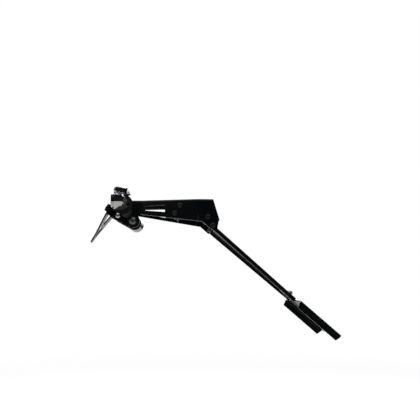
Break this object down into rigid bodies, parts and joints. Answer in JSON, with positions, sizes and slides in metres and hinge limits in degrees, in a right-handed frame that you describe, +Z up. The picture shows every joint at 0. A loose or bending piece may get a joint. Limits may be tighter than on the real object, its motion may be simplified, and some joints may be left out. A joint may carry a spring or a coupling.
{
  "type": "motorbike tail tidy",
  "caption": "Motorbike tail tidy: folded arm under the tail with a sloping undertray, a Y-shaped number plate holder, a plate light and stalk indicators on both sides.",
  "frame": {"origin": "centre of the four tail bolt holes on the arm's upper face", "axes": "+X forward along the motorbike, +Y to its left, +Z up along the tail bolts"},
  "size_m": [0.4317, 0.384, 0.2656],
  "materials": {
    "black_coat": "satin black powder coat",
    "black_steel": "black plated steel",
    "bright_steel": "zinc plated steel",
    "rubber": "matte black rubber",
    "lamp_black": "gloss black plastic",
    "lamp_clear": "clear plastic lens",
    "indicator_black": "gloss black plastic",
    "indicator_smoke": "smoked plastic lens",
    "board_white": "white circuit board"
  },
  "bodies": {
    "root": {"arm": "black_coat", "arm_brace": "black_coat", "undertray": "black_coat", "lower_mount": "black_coat", "plate_bracket": "black_coat", "plate_holder": "black_coat", "arm_brace_bolts": "black_steel", "undertray_bolts": "black_steel", "lower_mount_bolts": "black_steel", "plate_holder_bolts": "black_steel", "pivot_washers": "black_steel", "arm_brace_nuts": "bright_steel", "undertray_nuts": "bright_steel", "lower_mount_nuts": "bright_steel", "plate_holder_nuts": "bright_steel", "clamp_bolts": "bright_steel", "clamp_nuts": "bright_steel", "pivot_bolts": "bright_steel", "pivot_nuts": "bright_steel", "lamp_studs": "bright_steel", "lamp_nuts": "bright_steel", "indicator_nuts": "bright_steel", "indicator_washers": "bright_steel", "indicator_stud_left": "bright_steel", "indicator_stud_right": "bright_steel", "cable_grommet": "rubber", "lamp_gland": "rubber", "indicator_stalk_left": "rubber", "indicator_stalk_right": "rubber", "lamp_housing": "lamp_black", "lamp_lens": "lamp_clear", "indicator_body_left": "indicator_black", "indicator_body_right": "indicator_black", "indicator_lens_left": "indicator_smoke", "indicator_lens_right": "indicator_smoke", "lamp_board": "board_white", "indicator_board_left": "board_white", "indicator_board_right": "board_white"}
  },
  "joints": []
}
